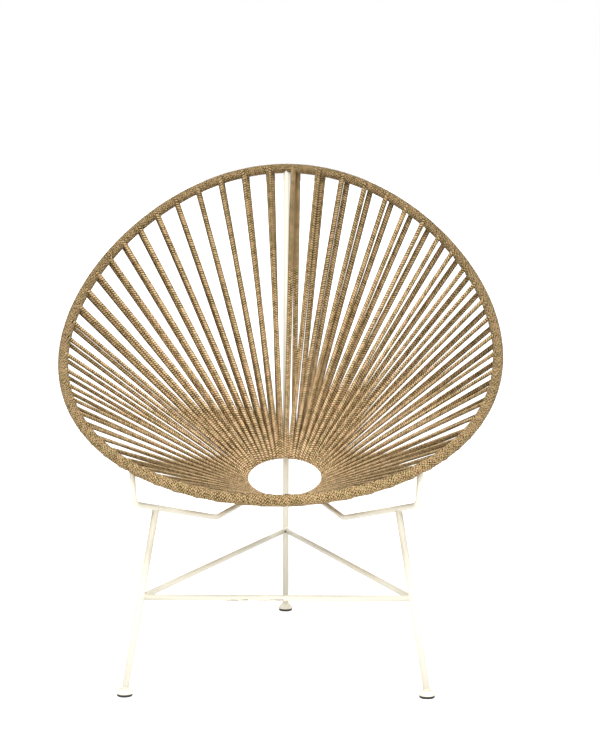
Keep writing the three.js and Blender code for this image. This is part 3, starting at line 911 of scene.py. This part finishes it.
def cord_material():
    material, node = new_material("straw_braided_cord")
    calc = math_chain(node)
    place = node("ShaderNodeTexCoord").outputs
    stitches = {"Columns": COLUMNS_ROUND, "Stitch": STITCH, "Slant": STITCH_SLANT}
    braid = node("ShaderNodeGroup", {"UV": place["UV"], **stitches}, node_tree=round_braid)
    height, yarn, fibre = (braid.outputs[key] for key in ("Height", "Yarn", "Fibre"))
    sizes = {"Drift scale": 6.0, "Speckle scale": 70.0, "Speckle share": 0.45}
    tone = node("ShaderNodeGroup", {"Place": place["Object"], **sizes}, node_tree=uneven_tone)
    raised = calc("ADD", height, calc("MULTIPLY", fibre, FIBRE_SHARE))
    yarn_tone = calc("MULTIPLY", calc("SUBTRACT", yarn, 0.5), YARN_SHARE)
    level = calc("ADD", calc("MULTIPLY", raised, HEIGHT_SHARE), yarn_tone)
    # Painted shade: the low gaps of the braid are painted nearly black, the raised crowns pale
    shades = (0.28, CORD_CREVICE), (0.52, CORD_BODY), (0.76, CORD_CROWN)
    colour = ramp_through(node, level, *shades)
    # Pinkish and olive yarns come in patches, and only the raised part of a yarn shows them
    for comparison, speckle_limit, yarn_limit, tint in TINTS:
        in_patch = calc(comparison, tone.outputs["Speckle"], speckle_limit)
        in_yarn = calc(comparison, yarn, yarn_limit)
        strength = calc("MULTIPLY", calc("MULTIPLY", in_patch, in_yarn), TINT_SHARE)
        mixed = {"Factor": calc("MULTIPLY", strength, level), "A": colour, "B": tint}
        colour = node("ShaderNodeMix", mixed, data_type="RGBA").outputs["Result"]
    # Painted light and shade: a tone for each point makes the cord lighter where light is painted
    # and darker where shade is painted, and greyer where it is lighter
    painted_light_and_shade = node("ShaderNodeAttribute", attribute_name="painted_light_and_shade", attribute_type="GEOMETRY")
    tone_here = painted_light_and_shade.outputs["Fac"]
    grey = node("ShaderNodeMapRange", {"Value": tone_here, **GREYING}).outputs["Result"]
    drift = calc("ADD", calc("MULTIPLY", tone.outputs["Tone"], DRIFT_SHARE), DRIFT_FROM)
    wear_and_painted_light = {"Color": colour, "Saturation": grey, "Value": calc("MULTIPLY", drift, tone_here)}
    rough = node("ShaderNodeMapRange", {"Value": fibre, "To Min": 0.72, "To Max": 0.95})
    relief = node("ShaderNodeBump", {"Height": raised, "Strength": 0.9, "Distance": BRAID_HEIGHT})
    look = {
        "Base Color": node("ShaderNodeHueSaturation", wear_and_painted_light).outputs["Color"],
        "Roughness": rough.outputs["Result"],
        "Normal": relief.outputs["Normal"],
        "Sheen Weight": 0.03,
        "Sheen Roughness": 0.5,
        "Specular IOR Level": 0.08,
    }
    cord = node("ShaderNodeBsdfPrincipled", look)
    node("ShaderNodeOutputMaterial", {"Surface": cord.outputs[0]})
    return material


cord_finish = cord_material()
print("cord finish:", cord_finish.name)

# %% [markdown]
# ## Braided cord: the route
# One cord makes the whole seat. It winds closely round the hoop. Once in each pitch the
# turn that would pass inside the hoop is pulled down to the ring: the cord leaves from
# behind the hoop, goes under the ring and round its inside, and comes back over it to the
# front of the hoop, a little further on. Then the winding goes on. The route is worked out
# as rows of numbers: each row has a point, the direction away from the rod that it lies on,
# and how thick and wide the soft cord is there. The braid is hollow, so it lies flat on the
# rods and stays flat between them, with a slight twist. Last, each row has a tone and a
# weave. The tone holds painted light and shade: the winding is painted lighter in front
# than on top, the strand behind in each pair carries painted shade, and the strands are
# painted lighter and lighter towards the ring. The weave is open where the cord is pressed
# flat on the hoop.

# %% Where the cords stand on the hoop and on the ring
WELD_SLOT = math.radians(7)
RING_TURN_SHIFT = math.radians(1.2)
# The winder spaced the cords by eye. Each pair of numbers is a station and by how many
# stations the cords there stand past their even place: at the lower right they are short
# of it, and over the top and down the left side a little past it.
LEANS = (
    (0, 0.0), (8, 0.0), (11, -0.5), (13, -0.45), (16, -0.12), (18, 0.0),
    (23, 0.16), (27, 0.24), (29, 0.2), (30, 0.14), (31, 0.1), (33, 0.05),
    (36, 0.11), (40, 0.2), (46, 0.2), (52, 0.0), (60, 0.0),
)
# On the ring the strands of the right side are pulled on towards the rear leg, most of all
# under it, and those of the left side a little towards the front
UNDER_LEANS = ((0, 0.0), (8, 0.0), (13, 1.5), (20, 2.0), (25, 1.8), (30, 0.0), (60, 0.0))
OVER_LEANS = (
    (0, 0.0), (8, 0.3), (13, 0.75), (20, 0.6), (25, 0.3),
    (30, 0.2), (36, 0.2), (50, 0.25), (60, 0.0),
)

weld_stations = [
    -RING_WELD_STATION,
    RING_WELD_STATION,
    HALF_SPOKES,
    SPOKES - RING_WELD_STATION,
    SPOKES + RING_WELD_STATION,
]


def read_off(pairs, station):
    """The value at a station, from pairs of a station and a value."""
    return float(np.interp(station, *zip(*pairs)))


def blend(low, high, share):
    """The value at a share of the way from one value to another."""
    return low + (high - low) * share


def under_angle(station):
    """Where a cord passes under the ring, clear of the welds."""
    first = max(weld for weld in weld_stations if weld <= station)
    last = min(weld for weld in weld_stations if weld > station)
    low = FULL_TURN * first / SPOKES + WELD_SLOT
    high = FULL_TURN * last / SPOKES - WELD_SLOT
    return low + (high - low) * (station - first) / (last - first)


def length_at(station):
    """The hoop length at a place between two stations."""
    whole = math.floor(station)
    return blend(station_length(whole), station_length(whole + 1), station - whole)


under_angles, over_angles, spoke_places = [], [], []
for k in range(SPOKES):
    middle = k + 0.5
    under = under_angle(middle + read_off(UNDER_LEANS, middle))
    over = FULL_TURN * (middle + read_off(OVER_LEANS, middle)) / SPOKES
    under_angles.append(under - RING_TURN_SHIFT)
    over_angles.append(over + RING_TURN_SHIFT)
    spoke_places.append(length_at(middle + read_off(LEANS, middle)))
print("cords on the ring:", len(over_angles))

# %% Sizes of the winding and of the strands
TURN_STEPS, STRAND_STEPS, RING_STEPS = 16, 16, 12
WRAP_THICK, WRAP_WIDE = 4.4 * MM, 12.4 * MM
RING_THICK, RING_WIDE = 4.8 * MM, 8.6 * MM
STRAND_THICK = 5.4 * MM
BACK_WIDE, FRONT_WIDE = 12.0 * MM, 11.3 * MM
NEAR_RING_THICK, NEAR_RING_WIDE = 6.2 * MM, 9.9 * MM
# On the ring a cord may be this much wider than the room between its neighbours
RING_CROWDING = 1.15
STRAND_TWIST = math.radians(8)
# How far each strand of a pair stands from their middle at the hoop
HALF_SHIFT = 3.7 * MM
# How much closer the two strands of a pair stand at the hoop: most at the lower right
SLIPS = ((6, 0.0), (10, 3.3 * MM), (15, 3.3 * MM), (18, 0.0))
TURN_WIDTH = 7.3 * MM
ROD_CLEARANCE = 0.1 * MM
LEAVE_LIFT = 0.8 * MM
WRAP_RADIUS = (HOOP_ROD + WRAP_THICK) / 2 + ROD_CLEARANCE
LEAVE_RADIUS = WRAP_RADIUS + LEAVE_LIFT
RING_TURN_RADIUS = (RING_ROD + RING_THICK) / 2 + ROD_CLEARANCE
# The shares of its length over which a strand takes on its own section and its twist
SOFT_REACH_SHARE, TWIST_REACH_SHARE = 0.035, 0.06
WOBBLE = 0.45 * MM
# A turn strays less up and down than sideways, and less near both ends of a stretch
LIFT_SHARE, CALM_ENDS = 0.5, 4
# On the hoop the flattened weave opens and shows more columns
PLAIN_WEAVE, OPEN_WEAVE = 1, 3

# One point of the route: sizes in metres, tone as a factor, weave as turns of the columns
Row = namedtuple("Row", "point out thick wide tone weave")
chance = random.Random(60)
slips = [read_off(SLIPS, k + 0.5) for k in range(SPOKES)]


def ring_widths(angles):
    """As wide as a cord can lie on the ring between its neighbours."""
    gaps = [b - a for a, b in zip(angles, angles[1:] + [angles[0] + FULL_TURN])]
    rooms = [min(gaps[k - 1], gaps[k]) * RING_RADIUS for k in range(SPOKES)]
    return [min(RING_WIDE, RING_CROWDING * room) for room in rooms]


under_widths, over_widths = ring_widths(under_angles), ring_widths(over_angles)
print("narrowest cord on the ring:", round(min(under_widths + over_widths) / MM, 1), "mm")

# %% Tones of the winding and of the strands
# Painted light: the winding is painted lighter in front than on top, and the cord on the ring
# lighter still
WRAP_FRONT_TONE, WRAP_TOP_TONE, RING_TONE = 0.735, 0.51, 1.30
WRAP_TONE_POWER = 3
# The tones of the two strands of a pair near the hoop: the darker tone of the strand behind is
# painted shade, where the front strand shadows it
FRONT_TONE, FRONT_TOP_TONE, BACK_TONE, BACK_TOP_TONE = 0.94, 0.61, 0.62, 0.60
TOP_SPOKES = 5
# Along which share of its length a strand grows as pale as on the ring, with painted light, at
# the sides and at the top, where the rest of the change is left to the ring itself
SIDE_TONE_REACH, TOP_TONE_REACH = 0.68, 1.3
# Painted shade darkens the two rims of the flat braid, where the neighbouring strands shade them
RIM_SHADE_SHARE, RIM_SHADE_POWER = 0.55, 4


def clamped(value):
    return min(max(value, 0.0), 1.0)


def eased(value):
    """Runs from zero to one with a soft start and a soft end."""
    value = clamped(value)
    return value * value * (3 - 2 * value)


def wrap_tone(length):
    """Painted light: the winding is painted lighter in front, where more light falls, than on
    top.
    """
    to_front = ((1 + math.cos(FULL_TURN * length / HOOP_ROUND)) / 2) ** WRAP_TONE_POWER
    return blend(WRAP_TOP_TONE, WRAP_FRONT_TONE, to_front)


def strand_tone(hoop_tone, reach, from_hoop):
    """Painted light: a strand is painted paler and paler from the hoop towards the ring."""
    return blend(hoop_tone, RING_TONE, eased(from_hoop / reach))


print("tone of the winding in front", wrap_tone(0.0), "and on top", wrap_tone(HOOP_ROUND / 2))

# %% Turns beside the welds
PUSH_FADE = 12 * MM
PUSH_REACH = 5 * PUSH_FADE
# The soft cord is pressed thinner by this much beside a weld
PUSH_GIVE = 1 * MM
# The push is full up to one angle from the welded rod, and gone beyond the other
PUSH_FULL, PUSH_NONE = math.cos(math.radians(40)), math.cos(math.radians(95))

# A rod that is welded to the hoop pushes the turns on both sides apart, but only on the
# side where it stands: on the far side they close up again
weld_places = [
    (stations[BRACKET_STATION], -bracket_rise, BRACKET_ROD / 2),
    (HOOP_ROUND - stations[BRACKET_STATION], mirrored(-bracket_rise), BRACKET_ROD / 2),
    (HOOP_ROUND / 2, -rear_run, LEG_ROD / 2),
]


def hoop_frame(length):
    """Centre, direction to the ring and direction to the sitter, on the hoop."""
    centre = hoop_by_length(length)
    tangent = (hoop_by_length(length + MM) - hoop_by_length(length - MM)).normalized()
    inward = square_to(tangent, ring_centre - centre)
    return centre, inward, tangent.cross(inward)


def pushed_aside(length, angle):
    """Moves a point of the winding along the hoop, clear of a welded rod."""
    for weld_length, direction, radius in weld_places:
        apart = length - weld_length
        if abs(apart) > PUSH_REACH:
            continue
        _, inward, front = hoop_frame(weld_length)
        weld_angle = math.atan2(direction.dot(front), direction.dot(inward))
        near = (math.cos(angle - weld_angle) - PUSH_NONE) / (PUSH_FULL - PUSH_NONE)
        room = radius + WRAP_WIDE / 2 - PUSH_GIVE
        push = room * eased(near) * math.exp(-abs(apart) / PUSH_FADE)
        return length + math.copysign(push, apart)
    return length


print("welds on the hoop:", len(weld_places))

# %% A stretch of the winding
def winding(from_length, to_length, from_angle, to_angle, held, slip):
    """Rows of the winding: held names the end where a quarter turn only slips."""
    first_moving = from_angle + (QUARTER_TURN if held == "start" else 0.0)
    last_moving = to_angle - (QUARTER_TURN if held == "end" else 0.0)
    steps = max(2, round((to_angle - from_angle) / FULL_TURN * TURN_STEPS))
    loose = [chance.uniform(-1, 1) * WOBBLE for _ in range(steps // TURN_STEPS + 3)]
    proud = [chance.uniform(-1, 1) * LIFT_SHARE * WOBBLE for _ in loose]
    rows = []
    for i in range(steps + 1):
        share, turn = i / steps, i / TURN_STEPS
        angle = blend(from_angle, to_angle, share)
        whole = int(turn)
        calm = min(1.0, CALM_ENDS * share, CALM_ENDS * (1 - share))
        stray = blend(loose[whole], loose[whole + 1], turn - whole)
        lift = blend(proud[whole], proud[whole + 1], turn - whole)
        moved = clamped((angle - first_moving) / (last_moving - first_moving))
        length = blend(from_length, to_length, moved) + stray * calm
        if held == "end":
            length += slip * eased((angle - last_moving) / QUARTER_TURN)
        else:
            length -= slip * eased((first_moving - angle) / QUARTER_TURN)
        centre, inward, front = hoop_frame(pushed_aside(length, angle))
        radial = inward * math.cos(angle) + front * math.sin(angle)
        point = centre + radial * (WRAP_RADIUS + lift * calm)
        rows.append(Row(point, radial, WRAP_THICK, WRAP_WIDE, wrap_tone(length), OPEN_WEAVE))
    return rows


print("points in one turn:", TURN_STEPS)

# %% One straight strand
def straight_run(start, stop, free_thick, free_wide, twist, tone_at):
    """Rows of one strand between two rows on the rods. Its own sizes are given as pairs."""
    direction = (stop.point - start.point).normalized()
    rows = []
    for i in range(STRAND_STEPS + 1):
        # Closer steps at both ends, where the section changes
        share = (1 - math.cos(math.pi * i / STRAND_STEPS)) / 2
        at_start = max(0.0, 1 - share / SOFT_REACH_SHARE) ** 2
        at_stop = max(0.0, 1 - (1 - share) / SOFT_REACH_SHARE) ** 2
        thick, wide, tone = (
            free * (1 - at_start - at_stop) + on_start * at_start + on_stop * at_stop
            for free, on_start, on_stop in (
                (blend(*free_thick, share), start.thick, stop.thick),
                (blend(*free_wide, share), start.wide, stop.wide),
                (tone_at(share), start.tone, stop.tone),
            )
        )
        turned = twist * eased(share / TWIST_REACH_SHARE) * eased((1 - share) / TWIST_REACH_SHARE)
        out = Matrix.Rotation(turned, 3, direction) @ start.out.lerp(stop.out, share)
        point = start.point.lerp(stop.point, share)
        rows.append(Row(point, out, thick, wide, tone, PLAIN_WEAVE))
    return rows


print("points in one strand:", STRAND_STEPS + 1)

# %% One pair of strands
def ring_turn(k):
    """Rows from under the ring, round its inside and back over it."""
    stray = chance.uniform(-1, 1) * WOBBLE / RING_RADIUS
    under, over = under_angles[k] + stray, over_angles[k] + stray
    rows = []
    for i in range(RING_STEPS + 1):
        share = i / RING_STEPS
        angle = blend(under, over, eased(share))
        middle, tangent = ring_at(angle), ring_tangent(angle)
        out = square_to(tangent, hoop_by_length(spoke_places[k]) - middle)
        swing = -QUARTER_TURN - math.pi * share
        radial = out * math.cos(swing) + out.cross(tangent) * math.sin(swing)
        point = middle + radial * RING_TURN_RADIUS
        wide = blend(under_widths[k], over_widths[k], share)
        # The cord on the ring has the ring's painted light
        rows.append(Row(point, radial, RING_THICK, wide, RING_TONE, PLAIN_WEAVE))
    return rows


def strand_pair(k):
    """Rows from the back of the hoop, under and round the ring, to the hoop's front."""
    place, half_shift = spoke_places[k], HALF_SHIFT - slips[k]
    hoop_side = WRAP_THICK, BACK_WIDE, wrap_tone(place), PLAIN_WEAVE
    centre, _, front = hoop_frame(place - half_shift)
    leave = Row(centre - front * LEAVE_RADIUS, -front, *hoop_side)
    centre, _, front = hoop_frame(place + half_shift)
    arrive = Row(centre + front * LEAVE_RADIUS, front, *hoop_side)
    on_ring = ring_turn(k)
    # At the top of the hoop the front strand gets the same painted shade as the one behind, and
    # its twist turns over from one side to the other
    from_top = (k + 0.5 - HALF_SPOKES) / TOP_SPOKES
    aside = eased(abs(from_top) - 0.5)
    back_tone = blend(BACK_TOP_TONE, BACK_TONE, aside)
    front_tone = blend(FRONT_TOP_TONE, FRONT_TONE, aside)
    reach = blend(TOP_TONE_REACH, SIDE_TONE_REACH, aside)
    down = straight_run(
        leave,
        on_ring[0],
        (STRAND_THICK, NEAR_RING_THICK),
        (BACK_WIDE, NEAR_RING_WIDE),
        -STRAND_TWIST,
        lambda share: strand_tone(back_tone, reach, share),
    )
    up = straight_run(
        on_ring[-1],
        arrive,
        (NEAR_RING_THICK, STRAND_THICK),
        (NEAR_RING_WIDE, FRONT_WIDE),
        STRAND_TWIST * min(max(from_top, -1.0), 1.0),
        lambda share: strand_tone(front_tone, reach, 1 - share),
    )
    return down + on_ring[1:-1] + up


print("points on the ring, for one pair:", RING_STEPS + 1)

# %% The route of one length
SPOKES_PER_LENGTH = 3


def cord_rows(first):
    """The route of one length of the cord, from one middle between strands to another."""
    rows = []
    for k in range(first, first + SPOKES_PER_LENGTH):
        place = spoke_places[k]
        before = spoke_places[k - 1] - (HOOP_ROUND if k == 0 else 0.0)
        after = spoke_places[(k + 1) % SPOKES] + (HOOP_ROUND if k == SPOKES - 1 else 0.0)
        from_middle, to_middle = (before + place) / 2, (place + after) / 2
        turns_in = max(1, round((place - HALF_SHIFT - from_middle) / TURN_WIDTH))
        turns_out = max(1, round((to_middle - place - HALF_SHIFT) / TURN_WIDTH))
        # Each middle is passed on the outside of the hoop, at half a turn. The last quarter
        # turn before a strand and the first one after it don't move on along the hoop, so
        # the winding stays closed on the outside.
        arriving = FULL_TURN * turns_in + 3 * QUARTER_TURN
        leaving = FULL_TURN * turns_out + math.pi
        start, stop = place - HALF_SHIFT, place + HALF_SHIFT
        onto = winding(from_middle, start, math.pi, arriving, "end", slips[k])
        rows += onto[0 if k == first else 1 : -1]
        rows += strand_pair(k)
        rows += winding(stop, to_middle, QUARTER_TURN, leaving, "start", slips[k])[1:]
    return rows


print("pairs of strands in one length:", SPOKES_PER_LENGTH)

# %% From the route to a mesh
CORD = 8.2 * MM
CORD_SIDES = 12


def field_of(rows, field):
    """One field of all rows, as an array with one line for each row."""
    return np.array([getattr(row, field) for row in rows])[:, None]


def round_tube(name, rows):
    """A round tube from a bevelled curve, with one ring of corners for each row."""
    line = bpy.data.curves.new(name, "CURVE")
    line.dimensions = "3D"
    line.twist_mode = "MINIMUM"
    line.bevel_depth = CORD / 2
    # A bevel of resolution n has 2 n + 4 sides
    line.bevel_resolution = CORD_SIDES // 2 - 2
    spline = line.splines.new("POLY")
    spline.points.add(len(rows) - 1)
    for spot, row in zip(spline.points, rows):
        spot.co = (*row.point, 1.0)
    holder = bpy.data.objects.new(name, line)
    mesh = bpy.data.meshes.new_from_object(holder)
    bpy.data.objects.remove(holder)
    bpy.data.curves.remove(line)
    return mesh


def press(mesh, rows):
    """Makes each ring as thick and wide as its row says. Returns how near the rim it is."""
    places = np.zeros(len(mesh.vertices) * 3)
    mesh.vertices.foreach_get("co", places)
    points = field_of(rows, "point")
    radial = np.array([row.out.normalized() for row in rows])[:, None]
    thick, wide = (field_of(rows, field)[..., None] / CORD for field in ("thick", "wide"))
    offsets = places.reshape(-1, CORD_SIDES, 3) - points
    out = (offsets * radial).sum(axis=2, keepdims=True) * radial
    places = points + out * thick + (offsets - out) * wide
    mesh.vertices.foreach_set("co", places.ravel())
    return np.linalg.norm(offsets - out, axis=2) / (CORD / 2)


def unroll(mesh, rows, lengths):
    """Writes the UV map: U goes round the cord, and V is the length along it."""
    corners = np.zeros(len(mesh.loops), dtype=np.int32)
    mesh.loops.foreach_get("vertex_index", corners)
    corners = corners.reshape(-1, 4)
    around, onward = corners % CORD_SIDES, corners // CORD_SIDES
    # Faces on the seam end at a whole turn, not at zero
    seam = (around.max(axis=1) == CORD_SIDES - 1) & (around.min(axis=1) == 0)
    around = np.where(seam[:, None] & (around == 0), CORD_SIDES, around)
    weave = field_of(rows, "weave")[onward.min(axis=1)]
    uv = np.stack([around * weave / CORD_SIDES, lengths[onward]], axis=-1)
    for layer in list(mesh.uv_layers):
        mesh.uv_layers.remove(layer)
    mesh.uv_layers.new(name="cord_uv").data.foreach_set("uv", uv.astype(np.float32).ravel())


def close_ends(mesh):
    """Fills the two open ends of a tube."""
    bm = bmesh.new()
    bm.from_mesh(mesh)
    open_rims = [edge for edge in bm.edges if edge.is_boundary]
    bmesh.ops.holes_fill(bm, edges=open_rims, sides=0)
    bmesh.ops.recalc_face_normals(bm, faces=bm.faces)
    bm.to_mesh(mesh)
    bm.free()


def cord_tube(name, rows, length_before):
    """The mesh of one length, and the length of all the cord up to its end."""
    mesh = round_tube(name, rows)
    rim = press(mesh, rows)
    steps = np.linalg.norm(np.diff(field_of(rows, "point")[:, 0], axis=0), axis=1)
    lengths = length_before + np.concatenate([[0.0], np.cumsum(steps)])
    unroll(mesh, rows, lengths)
    # Painted shade makes the rims darker than the flat faces, but not in the closed winding on
    # the hoop
    strung = field_of(rows, "weave") == PLAIN_WEAVE
    tones = field_of(rows, "tone") * (1 - RIM_SHADE_SHARE * strung * rim**RIM_SHADE_POWER)
    # The tones, with their painted light and shade, go into an attribute that the cord material
    # reads
    painted_light_and_shade = mesh.attributes.new("painted_light_and_shade", "FLOAT", "POINT")
    painted_light_and_shade.data.foreach_set("value", tones.astype(np.float32).ravel())
    close_ends(mesh)
    return mesh, float(lengths[-1])


print("corners round the cord:", CORD_SIDES)

# %% All lengths of the cord
cord_used = 0.0
for index in range(SPOKES // SPOKES_PER_LENGTH):
    number = f"{index + 1:02d}"
    name = f"cord_length_{number}"
    mesh, cord_used = cord_tube(name, cord_rows(index * SPOKES_PER_LENGTH), cord_used)
    place_mesh(name, mesh, cord_finish, "seat_cord", f"seat_cord_{number}")
    print("cord so far:", round(cord_used, 2), "m")
print("cord used:", round(cord_used, 1), "m")
